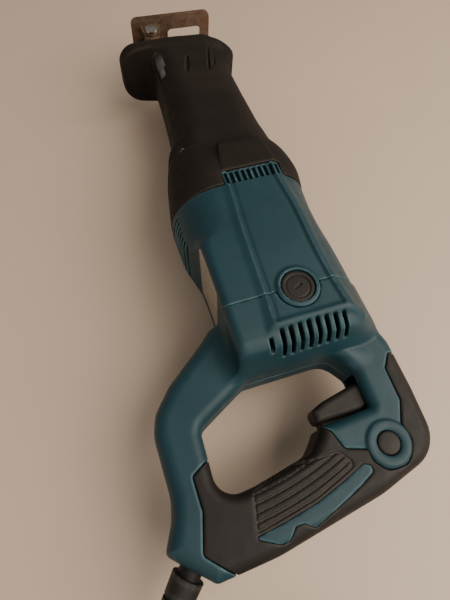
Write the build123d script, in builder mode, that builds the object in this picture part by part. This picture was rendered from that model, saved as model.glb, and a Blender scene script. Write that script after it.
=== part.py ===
"""Corded reciprocating saw with a D-handle, lying on its right-hand side.

Frame: +X runs forward to the shoe, +Y towards the saw's underside, and +Z up, out of its
left-hand side.  The origin is on the flat band of the right-hand side that the saw rests on,
under the motor's axis.  Shapes are drawn from the handle's rear end: s is the distance
forward of it, y the distance below the motor's axis, h the height above the mid-plane.
"""
import os
from math import cos, pi, radians, sin, tan

from build123d import *

# ---- driving dimensions, mm ------------------------------------------------------------
BUTT = -200.0  # x of the handle's rear end
MID = 48.5  # height of the mid-plane, half the width of the saw
SEAM_S = 147.0  # joint between handle and motor housing, through the brush caps
BOOT_S = 237.0  # rear edge of the rubber boot
WALL = 3.2  # moulded casing wall
GAP = 0.3  # clearance between neighbouring castings

HANDLE_HALF = 18.0  # half thickness of the D-handle
HANDLE_ROUND = 8.0  # rounding of its outer edges
GRIP_SKIN = 4.0  # thickness of the soft grip over the hard shell

BAND_HALF = 20.0  # half height of the flat band along each side
MOTOR_BORE = 41.0  # radius inside the motor housing
SPIGOT_R = 40.0  # rear spigot of the motor housing, inside the handle halves
CAP_R = 11.0  # screwed brush cap
CAP_BOSS_R = 15.0

SHAFT_R = 5.0
PINION_TEETH, CRANK_TEETH = 7, 49
CRANK_S = 276.0  # station of the crank's vertical axis
CRANK_R = 30.0  # outer radius of the crank gear
GEAR_TOP_Y = 5.0  # toothed face of the crank gear
THROW = 14.0  # half of the 28 mm stroke

FRONT_BEARING, REAR_BEARING = (16.0, 6.0), (11.0, 4.0)  # outer and bore radius
UPPER_CRANK_BEARING, LOWER_CRANK_BEARING = (16.0, 6.0), (14.0, 6.0)
COVER_R = 17.0  # cover below the crank's lower bearing
BUSHES, BUSH_R = [(311, 19), (362, 22)], 11.0  # station and length of each slider bush
NOSE_S = 332.0  # the gear housing's nose is hollow forward of here
SLIDER_TIP_S, CLAMP_PIN_S, CLAMP_R = 425.0, 415.0, 13.0
SLIDER_Y = -8.0  # axis of the slider, above the motor's axis
SLIDER_R = 8.0
RUNNING = 0.05  # radial running clearance

SHOE_S, SHOE_TILT = 470.0, -3.0  # front face of the shoe, and its lean as it lies
SHOE_PIN_S, SHOE_PIN_Y, SHOE_PIN_R = 458.0, 22.0, 4.0
BUTTON_S, BUTTON_R = 345.0, 6.5
TIE_ANGLE = radians(-35)

LOCK_S, LOCK_Y, LOCK_R = 42.0, -25.0, 7.2

CORD_R = 4.0
GUARD_ROOT = (12.0, 111.5, MID)  # where the cord guard leaves the handle: s, y, height
GUARD_TIP = (-24.7, 144.4, 40.5)
GUARD_R, GUARD_TIP_R = 9.8, 7.4
# Route of the cord from the guard to the coil, and from the coil to the plug.
CORD_ROUTE = [GUARD_TIP, (-46, 163, 34), (-79, 168, 18), (-112, 155, 6), (-135, 130, 4.05)]
TAIL_ROUTE = [(-149, 96, 12), (-150, 64, 12.5), (-143, 36, 13.1)]
COIL_CENTRE = (-95.0, 93.0)
COIL_MID_R, COIL_BAND = 46.0, 24.0  # mid-turn radius, and width and height of the winding
COIL_TURNS = 8
PLUG_LENGTH, PLUG_HALF_WIDTH, PLUG_HALF_HEIGHT = 54.0, 17.5, 13.0
PLUG_PIN_R, PLUG_PIN_LENGTH, PLUG_PIN_SPACING = 2.4, 19.0, 19.0
PLUG_PIN_ROOT_R, PLUG_PIN_ROOT = 2.0, 8.0  # the part moulded into the plug


# ---- planes and profiles ------------------------------------------------------------------
def side(h=0.0):
    """Plane parallel to the mid-plane, h above it: local axes are s and y."""
    return Plane(origin=(BUTT, 0, MID + h), x_dir=(1, 0, 0), z_dir=(0, 0, 1))


def cross(s, y=0.0, h=0.0):
    """Plane across the saw at station s, facing forward: local axes are y and height."""
    return Plane(origin=(BUTT + s, y, MID + h), x_dir=(0, 1, 0), z_dir=(1, 0, 0))


def level(y, s=CRANK_S):
    """Plane square to the crank's axis, facing the underside."""
    return Plane(origin=(BUTT + s, y, MID), x_dir=(1, 0, 0), z_dir=(0, 1, 0))


def crank_pin_plane(y):
    """Plane square to the crank pin; the pin stands beside the axis, at mid-stroke."""
    return Plane(origin=(BUTT + CRANK_S, y, MID + THROW), x_dir=(1, 0, 0), z_dir=(0, 1, 0))


def at(s, y, z):
    """Point from a station, a distance below the axis and a height above the table."""
    return Vector(BUTT + s, y, z)


def outline(corners, plane, inset=0.0):
    """Closed sketch on a plane from (s, y, corner radius) points, drawn in by inset."""
    with BuildSketch(plane) as face:
        with BuildLine():
            FilletPolyline([(s, y) for s, y, _ in corners], radius=[r for _, _, r in corners], close=True)
        make_face()
        if inset:
            offset(amount=-inset, kind=Kind.ARC)
    return face.sketch


def shell_loft(stations, inset=0.0, grow=0.0):
    """Casing form through sections, each (s, y_low, y_high, half width, upper and lower corner radius)."""
    with BuildPart() as form:
        for index, (s, low, high, half, *corners) in enumerate(stations):
            end = {0: -grow, len(stations) - 1: grow}.get(index, 0.0)
            with BuildSketch(cross(s + end, (low + high) / 2)) as section:
                Rectangle(high - low - 2 * inset, 2 * (half - inset))
                for edge, radius in zip((0, -1), corners):
                    fillet(section.vertices().group_by(Axis.X)[edge], radius - 0.6 * inset)
        loft(ruled=True)
    return form.part


def block(s_range, y_range, h_range):
    """Box between two stations, two depths and two heights about the mid-plane."""
    size = [b - a for a, b in (s_range, y_range, h_range)]
    centre = [(a + b) / 2 for a, b in (s_range, y_range, h_range)]
    return Pos(BUTT + centre[0], centre[1], MID + centre[2]) * Box(*size, mode=Mode.PRIVATE)


def ring(plane, outer, inner, length):
    """Ring or disc of the given length standing on a plane."""
    with BuildPart() as made:
        with BuildSketch(plane):
            Circle(outer)
            if inner:
                Circle(inner, mode=Mode.SUBTRACT)
        extrude(amount=length)
    return made.part


def finish_part(shape, label):
    """Name a finished piece and write its file."""
    shape.label = label
    export_step(shape, f"parts/{label}.step")
    print(f"{label}: {len(shape.solids())} solid(s), {shape.volume / 1000:.1f} cm3")


def mirrored(shape):
    """The same piece on the other side of the mid-plane."""
    return mirror(shape, about=side())


# ---- outlines of the D-handle (s, y, corner radius) ---------------------------------------
HANDLE_OUTLINE = [
    (147, -48.5, 0), (123, -51, 20), (104, -57.5, 20), (70, -58.5, 60), (29, -57.5, 24),
    (16, -12, 60), (4.5, 60, 80), (2.5, 98, 5), (25, 122, 4), (40, 114.5, 15), (52, 111.5, 30),
    (90, 112.5, 30), (103, 108, 14), (118, 95, 30), (140, 67, 60), (156, 48.5, 0), (147, 48, 0),
]
OPENING = [
    (85.5, 83.5, 8), (106, 46, 8), (106, -14, 14), (90, -24.5, 7), (66, -24.5, 2),
    (64, 11, 2), (59, 15, 4), (51, 23, 8), (44, 60, 20), (42, 84.5, 13),
]
GRIP_REGION = [
    (64, 30, 3), (59, 6.5, 3), (47, 2.5, 4), (43.5, -8, 3), (42, -12, 2), (36, -11, 6),
    (27, -18, 10), (27, -33, 8), (40, -40, 8), (50, -38, 4), (64, -44.5, 6), (86, -44.5, 4),
    (95, -51, 2), (93, -70, 0), (-10, -70, 0), (-10, 84, 0), (3.7, 86, 0), (19, 101, 3),
    (40, 95, 6), (60, 95.5, 3), (66, 85, 2), (66, 60, 0),
]

# ---- sections of the casings (s, y_low, y_high, half width, upper and lower corner radius) ------
MOTOR_SECTIONS = [
    (SEAM_S, -48.5, 47.7, 46.5, 38, 16), (195, -46, 49.5, 46.5, 38, 18), (214, -45, 59, 46.5, 38, 30),
    (BOOT_S, -46.5, 60.5, 46.5, 38, 38),
]
SHOULDER_SECTIONS = [
    (106, -24, 46, 18, 8, 8), (115, -42, 48, 39, 18, 12), (128, -47.5, 48.5, 45, 32, 16),
    (SEAM_S, -48.5, 48.5, 46.5, 38, 16),
]
BOOT_SECTIONS = [
    (BOOT_S, -46.5, 60.5, 46.5, 38, 38), (256, -48.5, 60.5, 46.5, 36, 36), (273, -45.5, 57, 45, 33, 33),
    (284, -39, 53, 42, 29, 29), (297, -37.5, 49, 39.5, 26, 26), (307, -36.5, 41, 38, 26, 26),
    (350, -34, 36, 35, 23, 23),
    (388, -33, 35, 32, 21, 21), (418, -33, 34.5, 31.5, 20, 20),
]
PAD_PLAN = [(BOOT_S, -MID, 0), (275, -MID, 0), (283, -42, 0), (283, 42, 0), (275, MID, 0), (BOOT_S, MID, 0)]
TRIGGER_SIDE = [(66.5, 10.5, 2), (75.5, 11, 3.5), (78.5, 2, 10), (84, -23.5, 3), (84, -37.5, 3),
                (70, -37.5, 2), (66, -20, 8)]
FLANGE_SIDE = [(388, -33, 8), (400, -38, 5), (409, -38, 3), (429, 61, 4), (417, 61, 4), (415, 36, 0),
               (400, 30, 0)]

# Screw posts of the handle (s, y).
MOTOR_SCREWS = [(50, -22), (50, 22)]  # y, height above the mid-plane
HANDLE_SCREWS = [(17, 88), (96, 98), (24, -44), (95, -44), (12, 60), (134, 62)]

os.makedirs("parts", exist_ok=True)


# ---- handle halves and soft grips ------------------------------------------------------------
def d_loop(inset, half):
    """Upper half of the D-loop, drawn in by inset all round."""
    with BuildPart() as loop:
        extrude(outline(HANDLE_OUTLINE, side(), inset), amount=half)
        extrude(outline(OPENING, side(-1), -inset), amount=half + 2, mode=Mode.SUBTRACT)
    return loop.part


def rounded_loop(inset, half, radius):
    """The D-loop with its outer edges rounded."""
    with BuildPart() as loop:
        add(d_loop(inset, half))
        fillet(loop.faces().sort_by(Axis.Z)[-1].edges(), radius)
    return loop.part


outer_loop = rounded_loop(0, HANDLE_HALF, HANDLE_ROUND)
grip_prism = extrude(outline(GRIP_REGION, side(HANDLE_HALF - GRIP_SKIN)), amount=GRIP_SKIN + 1)

with BuildPart() as grip_left:
    add(outer_loop)
    add(grip_prism, mode=Mode.INTERSECT)
grip_left_solid = grip_left.part

shoulder = shell_loft(SHOULDER_SECTIONS)
shoulder_core = shell_loft(SHOULDER_SECTIONS, inset=WALL, grow=-WALL)
guard_axis = (at(*GUARD_TIP) - at(*GUARD_ROOT)).normalized()
guard_plane = Plane(origin=at(*GUARD_ROOT), z_dir=guard_axis)


def handle_half():
    """Hard shell of the left half, before the screw holes are made."""
    with BuildPart() as half:
        add(outer_loop)
        add(shoulder)
        add(block((125, SEAM_S), (-BAND_HALF, BAND_HALF), (30, MID)))
        with BuildSketch(side(8)):
            with Locations((LOCK_S, LOCK_Y)):
                Circle(13.6)
        extrude(amount=HANDLE_HALF + 0.6 - 8)
        add(grip_prism, mode=Mode.SUBTRACT)
        add(d_loop(5, HANDLE_HALF - 6), mode=Mode.SUBTRACT)
        add(shoulder_core, mode=Mode.SUBTRACT)
        # Room for the motor housing's spigot, its cap boss, the trigger and the lock button.
        add(ring(cross(124), SPIGOT_R + GAP, 0, 30), mode=Mode.SUBTRACT)
        with BuildSketch(side()):
            with Locations((SEAM_S, 0)):
                Circle(CAP_BOSS_R + GAP)
        extrude(amount=MID + 1, mode=Mode.SUBTRACT)
        add(block((48, 86.5), (-39.5, 12.6), (0, 10.4)), mode=Mode.SUBTRACT)
        with BuildSketch(side()):
            with Locations((LOCK_S, LOCK_Y)):
                Circle(LOCK_R + 0.35)
        extrude(amount=MID, mode=Mode.SUBTRACT)
        # Screw posts.
        with BuildSketch(side()):
            with Locations(*HANDLE_SCREWS):
                Circle(5.2)
        extrude(amount=HANDLE_HALF - 5)
        # Cooling slots round the rear shoulder.
        for row in range(9):
            y = (row - 4) * 5.2
            add(block((100, 125), (y - 1.4, y + 1.4), (21, MID + 1)), mode=Mode.SUBTRACT)
        add(block((-60, 200), (-90, 140), (-60, 0)), mode=Mode.SUBTRACT)
    return half.part


left_blank = handle_half()
guard_seat = ring(guard_plane.offset(-22), 7.4, 0, 30)
with BuildPart() as handle_left:
    add(left_blank)
    add(guard_seat, mode=Mode.SUBTRACT)
    with BuildSketch(side()):
        with Locations(*HANDLE_SCREWS):
            Circle(2.05)
    extrude(amount=11, mode=Mode.SUBTRACT)
with BuildPart() as handle_right:
    add(mirrored(left_blank))
    add(guard_seat, mode=Mode.SUBTRACT)
    # Post that the lock button's spring stands on.
    with BuildSketch(side(-HANDLE_HALF + 5)):
        with Locations((LOCK_S, LOCK_Y)):
            Circle(5.4)
    extrude(amount=HANDLE_HALF - 5 - 5.2)
    with BuildSketch(side()):
        with Locations(*HANDLE_SCREWS):
            Circle(2.2)
    extrude(amount=-12, mode=Mode.SUBTRACT)
    with BuildSketch(side(-12)):
        with Locations(*HANDLE_SCREWS):
            Circle(4)
    extrude(amount=-40, mode=Mode.SUBTRACT)
finish_part(handle_left.part, "handle_left")
finish_part(handle_right.part, "handle_right")
finish_part(grip_left_solid, "grip_left")
with BuildPart() as grip_right:
    add(mirrored(grip_left_solid))
    with BuildSketch(side(-12)):
        with Locations(*HANDLE_SCREWS):
            Circle(4)
    extrude(amount=-40, mode=Mode.SUBTRACT)
finish_part(grip_right.part, "grip_right")


# ---- motor housing ----------------------------------------------------------------------------
with BuildPart() as motor_housing:
    add(shell_loft(MOTOR_SECTIONS))
    add(block((SEAM_S, BOOT_S), (-BAND_HALF, BAND_HALF), (-MID, MID)))
    with BuildSketch(side(-MID)):
        with Locations((SEAM_S, 0)):
            Circle(CAP_BOSS_R)
    extrude(amount=2 * MID)
    add(ring(cross(126), SPIGOT_R, 0, 24))
    add(ring(cross(SEAM_S + 3), MOTOR_BORE, 0, 100), mode=Mode.SUBTRACT)
    add(ring(cross(129), 37, 0, 25), mode=Mode.SUBTRACT)
    add(ring(cross(112), 13.5, 0, 16))
    add(ring(cross(113.5), REAR_BEARING[0] + 0.02, 0, 9), mode=Mode.SUBTRACT)
    add(ring(cross(100), 6.5, 0, 40), mode=Mode.SUBTRACT)
    with BuildSketch(cross(120)):
        with PolarLocations(25, 6):
            Circle(7)
    extrude(amount=12, mode=Mode.SUBTRACT)
    with BuildSketch(side(-MID)):
        with Locations((SEAM_S, 0)):
            Circle(CAP_R + 0.15)
    extrude(amount=2 * MID, mode=Mode.SUBTRACT)
    with BuildSketch(cross(215)):
        with Locations(*MOTOR_SCREWS):
            Circle(2.6)
    extrude(amount=40, mode=Mode.SUBTRACT)
    with BuildSketch(cross(215)):
        with Locations(*MOTOR_SCREWS):
            Circle(4.6)
    extrude(amount=6, mode=Mode.SUBTRACT)
finish_part(motor_housing.part, "motor_housing")

with BuildPart() as label_plate:
    add(shell_loft(MOTOR_SECTIONS, inset=-0.5))
    add(shell_loft(MOTOR_SECTIONS, inset=-0.02, grow=1), mode=Mode.SUBTRACT)
    add(block((160, 197), (40, 60), (-28, 28)), mode=Mode.INTERSECT)
finish_part(label_plate.part, "label_plate")


def screw(plane, radius, length, head_radius, head_height):
    """Pan-head screw: head on the plane, shank going along its normal, cross recess."""
    with BuildPart() as made:
        add(ring(plane, radius, 0, length))
        add(ring(plane.offset(-head_height), head_radius, 0, head_height))
        with BuildSketch(plane.offset(-head_height)):
            Rectangle(head_radius * 1.3, head_radius * 0.3)
            Rectangle(head_radius * 0.3, head_radius * 1.3)
        extrude(amount=head_height * 0.5, mode=Mode.SUBTRACT)
    return made.part


def group(shapes, label):
    """Identical loose pieces kept together in one file."""
    gathered = Compound([solid for shape in shapes for solid in shape.solids()])
    finish_part(gathered, label)


handle_planes = [Plane(origin=(BUTT + s, y, MID - 12), z_dir=(0, 0, 1)) for s, y in HANDLE_SCREWS]
group([screw(plane, 2.0, 22, 3.8, 3) for plane in handle_planes], "handle_screws")
motor_planes = [cross(221, y, h) for y, h in MOTOR_SCREWS]
group([screw(plane, 2.5, 30, 4.2, 3.5) for plane in motor_planes], "motor_screws")


# ---- motor ------------------------------------------------------------------------------------
with BuildPart() as stator_core:
    add(ring(cross(166), MOTOR_BORE - 0.2, 24.5, 48))
    with BuildSketch(cross(166)):
        with PolarLocations(32, 4, start_angle=45):
            Rectangle(9, 16)
    extrude(amount=48, mode=Mode.SUBTRACT)
finish_part(stator_core.part, "stator_core")
group([ring(cross(157), 37, 26.5, 8.8), ring(cross(214.2), 37, 26.5, 8.8)], "field_windings")

with BuildPart() as armature_shaft:
    add(ring(cross(113.6), 4.0, 0, 9))
    add(ring(cross(122.6), SHAFT_R, 0, 114.4))
    add(ring(cross(237), 6.0, 0, 8.4))
    add(ring(cross(245.4), 4.5, 0, 10.1))
    with BuildSketch(cross(247.6)):
        with PolarLocations(4.9, PINION_TEETH):
            Circle(1.1)
    extrude(amount=9, mode=Mode.SUBTRACT)
finish_part(armature_shaft.part, "armature_shaft")

with BuildPart() as armature_core:
    add(ring(cross(166), 23.6, SHAFT_R + 0.02, 48))
    with BuildSketch(cross(166)):
        with PolarLocations(20, 14):
            Rectangle(7.6, 3)
    extrude(amount=48, mode=Mode.SUBTRACT)
finish_part(armature_core.part, "armature_core")
windings = [ring(cross(158), 20, SHAFT_R + 2, 7.8), ring(cross(214.2), 20, SHAFT_R + 2, 7.8)]
group(windings, "armature_windings")

with BuildPart() as commutator:
    add(ring(cross(139), 13, SHAFT_R + 0.02, 17))
    with BuildSketch(cross(139)):
        with PolarLocations(12.2, 22):
            Rectangle(3, 0.5)
    extrude(amount=14, mode=Mode.SUBTRACT)
finish_part(commutator.part, "commutator")

with BuildPart() as cooling_fan:
    add(ring(cross(224), 37, SHAFT_R + 0.02, 1.6))
    add(ring(cross(224), 9, SHAFT_R + 0.02, 9))
    with BuildSketch(cross(225)):
        with PolarLocations(24, 16):
            Rectangle(24, 1.4, rotation=18)
    extrude(amount=8)
finish_part(cooling_fan.part, "cooling_fan")

finish_part(ring(cross(114), REAR_BEARING[0], REAR_BEARING[1] + 0.02, 7), "rear_bearing")
finish_part(ring(cross(237.2), FRONT_BEARING[0], FRONT_BEARING[1] + 0.02, 8.2), "front_bearing")
finish_part(ring(cross(233.6), MOTOR_BORE - 0.2, 22, 2.4), "fan_baffle")


def both_sides(make):
    """The piece made for the left-hand side and its mirror image."""
    return [make, mirrored(make)]


with BuildPart() as brush_holder:
    add(block((SEAM_S - 5.3, SEAM_S + 5.3), (-8.3, 8.3), (17, 42)))
    add(block((SEAM_S - 3.5, SEAM_S + 3.5), (-6.5, 6.5), (16, 43)), mode=Mode.SUBTRACT)
group(both_sides(brush_holder.part), "brush_holders")
carbon_brush = block((SEAM_S - 3.4, SEAM_S + 3.4), (-6.4, 6.4), (13.4, 27))
group(both_sides(carbon_brush), "carbon_brushes")


def coil_spring(plane, radius, wire, length, turns):
    """Round-wire compression spring standing on a plane."""
    with BuildPart() as made:
        with BuildLine() as line:
            Helix(pitch=(length - 2 * wire) / turns, height=length - 2 * wire, radius=radius,
                  center=(0, 0, wire))
        with BuildSketch(Plane(origin=line.line @ 0, z_dir=line.line % 0)):
            Circle(wire)
        sweep(path=line.line, is_frenet=True)
    return plane.location * made.part


brush_spring = coil_spring(Plane(origin=(BUTT + SEAM_S, 0, MID + 27.2), z_dir=(0, 0, 1)), 2.7, 0.4, 15, 6)
group(both_sides(brush_spring), "brush_springs")

with BuildPart() as brush_cap:
    with BuildSketch(side(43)):
        with Locations((SEAM_S, 0)):
            Circle(CAP_R)
    extrude(amount=4.9)
    chamfer(brush_cap.faces().sort_by(Axis.Z)[-1].edges(), 0.6)
    add(block((SEAM_S - 5, SEAM_S + 5), (-0.8, 0.8), (46.4, MID)), mode=Mode.SUBTRACT)
group(both_sides(brush_cap.part), "brush_caps")


# ---- gear housing and rubber boot ----------------------------------------------------------------
with BuildPart() as boot_flange:
    extrude(outline(FLANGE_SIDE, side(-30)), amount=60)
    fillet(boot_flange.edges().filter_by(Plane.XY), 4)
pad_plane = Plane(origin=(BUTT, 16, MID), x_dir=(1, 0, 0), z_dir=(0, -1, 0))
with BuildPart() as boot_pad:
    extrude(outline(PAD_PLAN, pad_plane), amount=31)

with BuildPart() as rubber_boot:
    add(shell_loft(BOOT_SECTIONS))
    add(boot_flange.part)
    add(boot_pad.part)
    add(shell_loft(BOOT_SECTIONS, inset=WALL, grow=1), mode=Mode.SUBTRACT)
    add(block((414, 440), (-29, 32), (-27.5, 27.5)), mode=Mode.SUBTRACT)
    with BuildSketch(side(-60)):
        with Locations((BUTTON_S, SHOE_PIN_Y)):
            Circle(BUTTON_R + 0.6)
    extrude(amount=40, mode=Mode.SUBTRACT)
finish_part(rubber_boot.part, "rubber_boot")

# Inside of the nose: the slider's tube and the shoe bar's channel, held by webs.
with BuildPart() as nose_core:
    add(ring(cross(NOSE_S, SLIDER_Y), 15, 0, 386 - NOSE_S))
    add(ring(cross(378, SLIDER_Y), 20.5, 0, 40))
    add(block((NOSE_S, 386), (0, 20), (-8, 8)))
    add(block((NOSE_S, 418), (14, 33), (-14, 14)))
    add(block((NOSE_S, 418), (28, 50), (-4, 4)))
    add(block((NOSE_S, 418), (-50, -14), (-4, 4)))
    add(shell_loft(BOOT_SECTIONS, inset=WALL + GAP + 1.5), mode=Mode.INTERSECT)
with BuildPart() as nose_hollow:
    add(shell_loft(BOOT_SECTIONS, inset=WALL + GAP + 4.5, grow=1))
    add(block((NOSE_S, 430), (-60, 60), (-60, 60)), mode=Mode.INTERSECT)
    add(nose_core.part, mode=Mode.SUBTRACT)
# Pocket between the roof and the slider's room, which keeps the casting light.
with BuildPart() as roof_pocket:
    add(shell_loft(BOOT_SECTIONS, inset=WALL + GAP + 4.5))
    add(block((256, NOSE_S - 4), (-60, -21.5), (-60, 60)), mode=Mode.INTERSECT)

with BuildPart() as gear_housing:
    add(shell_loft(BOOT_SECTIONS, inset=WALL + GAP, grow=-0.2))
    add(nose_hollow.part, mode=Mode.SUBTRACT)
    add(roof_pocket.part, mode=Mode.SUBTRACT)
    add(ring(level(14), CRANK_R + 1.5, 21, 26), mode=Mode.SUBTRACT)
    # Rear chamber, crank chamber and the slider's room.
    add(ring(cross(230), 38, 0, 20), mode=Mode.SUBTRACT)
    add(ring(level(3.4), CRANK_R + 1.5, 0, 11.2), mode=Mode.SUBTRACT)
    add(block((246, 308), (-17, 4), (-24.5, 24.5)), mode=Mode.SUBTRACT)
    # Crank bearings, and the recess of the cover below them.
    add(ring(level(14), 8, 0, 40), mode=Mode.SUBTRACT)
    add(ring(level(14), UPPER_CRANK_BEARING[0] + 0.02, 0, 12.2), mode=Mode.SUBTRACT)
    add(ring(level(33), LOWER_CRANK_BEARING[0] + 0.02, 0, 20), mode=Mode.SUBTRACT)
    add(ring(level(42.2), COVER_R + 0.2, 0, 30), mode=Mode.SUBTRACT)
    # Slider bores and the mouth round the blade clamp.
    add(ring(cross(300, SLIDER_Y), SLIDER_R + 1.5, 0, 120), mode=Mode.SUBTRACT)
    for s, length in BUSHES:
        add(ring(cross(s, SLIDER_Y), BUSH_R + 0.02, 0, length), mode=Mode.SUBTRACT)
    add(ring(cross(385, SLIDER_Y), 17.5, 0, 50), mode=Mode.SUBTRACT)
    # Channel of the shoe bar, and the bore of its button.
    add(block((330, 430), (18.9, 25.1), (-10.6, 10.6)), mode=Mode.SUBTRACT)
    with BuildSketch(side(-60)):
        with Locations((BUTTON_S, SHOE_PIN_Y)):
            Circle(BUTTON_R - 1.5 + 0.08)
    extrude(amount=60, mode=Mode.SUBTRACT)
    with BuildSketch(side(-60)):
        with Locations((BUTTON_S, SHOE_PIN_Y)):
            Circle(BUTTON_R + 0.6)
    extrude(amount=30.5, mode=Mode.SUBTRACT)
    with BuildSketch(cross(236)):
        with Locations(*MOTOR_SCREWS):
            Circle(2.6)
    extrude(amount=18, mode=Mode.SUBTRACT)
finish_part(gear_housing.part, "gear_housing")

with BuildPart() as bearing_plate:
    add(ring(cross(236.6), 37.8, FRONT_BEARING[0] + 0.02, 8.8))
    with BuildSketch(cross(236.6)):
        with PolarLocations(27, 6):
            Circle(4)
    extrude(amount=9, mode=Mode.SUBTRACT)
finish_part(bearing_plate.part, "bearing_plate")

with BuildPart() as gear_housing_cover:
    add(ring(level(42.4), COVER_R, 0, 2.8))
    with BuildSketch(level(42)):
        with PolarLocations(13.5, 4, start_angle=45):
            Circle(1.8)
    extrude(amount=10, mode=Mode.SUBTRACT)
finish_part(gear_housing_cover.part, "gear_housing_cover")


# ---- crank and slider ------------------------------------------------------------------------------
with BuildPart() as crank_gear:
    add(ring(level(GEAR_TOP_Y), CRANK_R, 6.02, 8))
    with BuildSketch(level(GEAR_TOP_Y)):
        with PolarLocations(27, CRANK_TEETH):
            Rectangle(7, 1.3)
    extrude(amount=1.2, mode=Mode.SUBTRACT)
    add(ring(crank_pin_plane(3), 3.02, 0, 12), mode=Mode.SUBTRACT)
finish_part(crank_gear.part, "crank_gear")
finish_part(ring(level(GEAR_TOP_Y + 0.2), 6, 0, 36.4), "crank_shaft")
finish_part(ring(crank_pin_plane(-5), 3, 0, 17.8), "crank_pin")
finish_part(ring(crank_pin_plane(-5), 4.5, 3.05, 9.8), "crank_roller")
finish_part(ring(level(16), UPPER_CRANK_BEARING[0], 6.02, 10), "upper_crank_bearing")
finish_part(ring(level(33.2), LOWER_CRANK_BEARING[0], 6.02, 8.6), "lower_crank_bearing")

with BuildPart() as slider:
    add(block((263, 289), (-14, -5.5), (-22, 22)))
    fillet(slider.edges().filter_by(Axis.Y), 4)
    add(block((288, 312), (-14, -5.5), (-5, 5)))
    add(ring(cross(310, SLIDER_Y), SLIDER_R, 0, SLIDER_TIP_S - 310))
    # Cross slot for the crank roller, blade socket and the hole of the clamp pin.
    add(block((276 - 4.7, 276 + 4.7), (-10, -5), (-19, 19)), mode=Mode.SUBTRACT)
    add(block((SLIDER_TIP_S - 20, SLIDER_TIP_S + 1), (SLIDER_Y - 6.5, SLIDER_Y + 6.5), (-1, 1)),
        mode=Mode.SUBTRACT)
    with BuildSketch(side(0.5)):
        with Locations((CLAMP_PIN_S, SLIDER_Y)):
            Circle(1.85)
    extrude(amount=12, mode=Mode.SUBTRACT)
finish_part(slider.part, "slider")

bushes = [ring(cross(s, SLIDER_Y), BUSH_R, SLIDER_R + RUNNING, length) for s, length in BUSHES]
group(bushes, "slider_bushes")

with BuildPart() as clamp_pin:
    with BuildSketch(side(1.4)):
        with Locations((CLAMP_PIN_S, SLIDER_Y)):
            Circle(1.8)
    extrude(amount=6.2)
finish_part(clamp_pin.part, "clamp_pin")

with BuildPart() as clamp_sleeve:
    add(ring(cross(400, SLIDER_Y), CLAMP_R, SLIDER_R + RUNNING, 23))
    with BuildSketch(cross(404, SLIDER_Y)):
        with PolarLocations(CLAMP_R + 1.2, 12):
            Circle(2)
    extrude(amount=20, mode=Mode.SUBTRACT)
    add(ring(cross(401.5, SLIDER_Y), 11, 0, 6), mode=Mode.SUBTRACT)
    add(ring(cross(399, SLIDER_Y), SLIDER_R + 1, 0, 5), mode=Mode.SUBTRACT)
finish_part(clamp_sleeve.part, "clamp_sleeve")
finish_part(coil_spring(cross(401.7, SLIDER_Y), 9.9, 0.6, 5.4, 3), "clamp_spring")
finish_part(ring(cross(423.2, SLIDER_Y), 10, SLIDER_R + 0.01, 1.5), "clamp_retainer")


# ---- shoe ------------------------------------------------------------------------------------------
pin_axis = Axis(at(SHOE_PIN_S, SHOE_PIN_Y, MID), (0, 0, 1))
with BuildPart() as shoe:
    with BuildSketch(cross(SHOE_S - 4)):
        with Locations((1.5, 0)):
            RectangleRounded(77, 42, 6)
        with Locations((-11.5, 0)):
            RectangleRounded(33, 14, 4, mode=Mode.SUBTRACT)
    extrude(amount=4)
    fillet(shoe.faces().sort_by(Axis.X)[-1].edges(), 1.2)
    for h in (-13.8, 11.2):
        with BuildSketch(side(h)) as ear:
            add(outline([(466.5, 12, 0), (466.5, 32, 0), (456, 30, 5), (451.5, 22, 6), (456, 14, 5)], Plane.XY))
        extrude(amount=2.6)
    with BuildSketch(side(-30)):
        with Locations((SHOE_PIN_S, SHOE_PIN_Y)):
            Circle(SHOE_PIN_R + RUNNING)
    extrude(amount=60, mode=Mode.SUBTRACT)
finish_part(shoe.part.rotate(pin_axis, SHOE_TILT), "shoe")

with BuildPart() as shoe_bar:
    add(block((352, 452), (19.5, 24.5), (-10, 10)))
    with BuildSketch(side(-10)):
        with Locations((SHOE_PIN_S, SHOE_PIN_Y)):
            Circle(7.4)
    extrude(amount=20)
    with BuildSketch(side(-10)):
        with Locations((SHOE_PIN_S, SHOE_PIN_Y)):
            Circle(SHOE_PIN_R + RUNNING)
    extrude(amount=20, mode=Mode.SUBTRACT)
    for step in range(5):
        add(block((358 + 7 * step, 361 + 7 * step), (18, 26), (-11, -7.5)), mode=Mode.SUBTRACT)
finish_part(shoe_bar.part, "shoe_bar")

with BuildPart() as shoe_pin:
    add(ring(Plane(origin=at(SHOE_PIN_S, SHOE_PIN_Y, MID - 14.5), z_dir=(0, 0, 1)), SHOE_PIN_R, 0, 29))
    for h in (-16, 14.5):
        add(ring(Plane(origin=at(SHOE_PIN_S, SHOE_PIN_Y, MID + h), z_dir=(0, 0, 1)), 6, 0, 1.5))
finish_part(shoe_pin.part, "shoe_pin")

button_plane = Plane(origin=at(BUTTON_S, SHOE_PIN_Y, MID - 13.5), z_dir=(0, 0, -1))
with BuildPart() as shoe_button:
    add(ring(button_plane, BUTTON_R - 1.5, 0, 22))
    add(ring(button_plane.offset(19.4), BUTTON_R, 0, 5))
    fillet(shoe_button.faces().sort_by(Axis.Z)[0].edges(), 1.2)
finish_part(shoe_button.part, "shoe_button")


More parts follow.
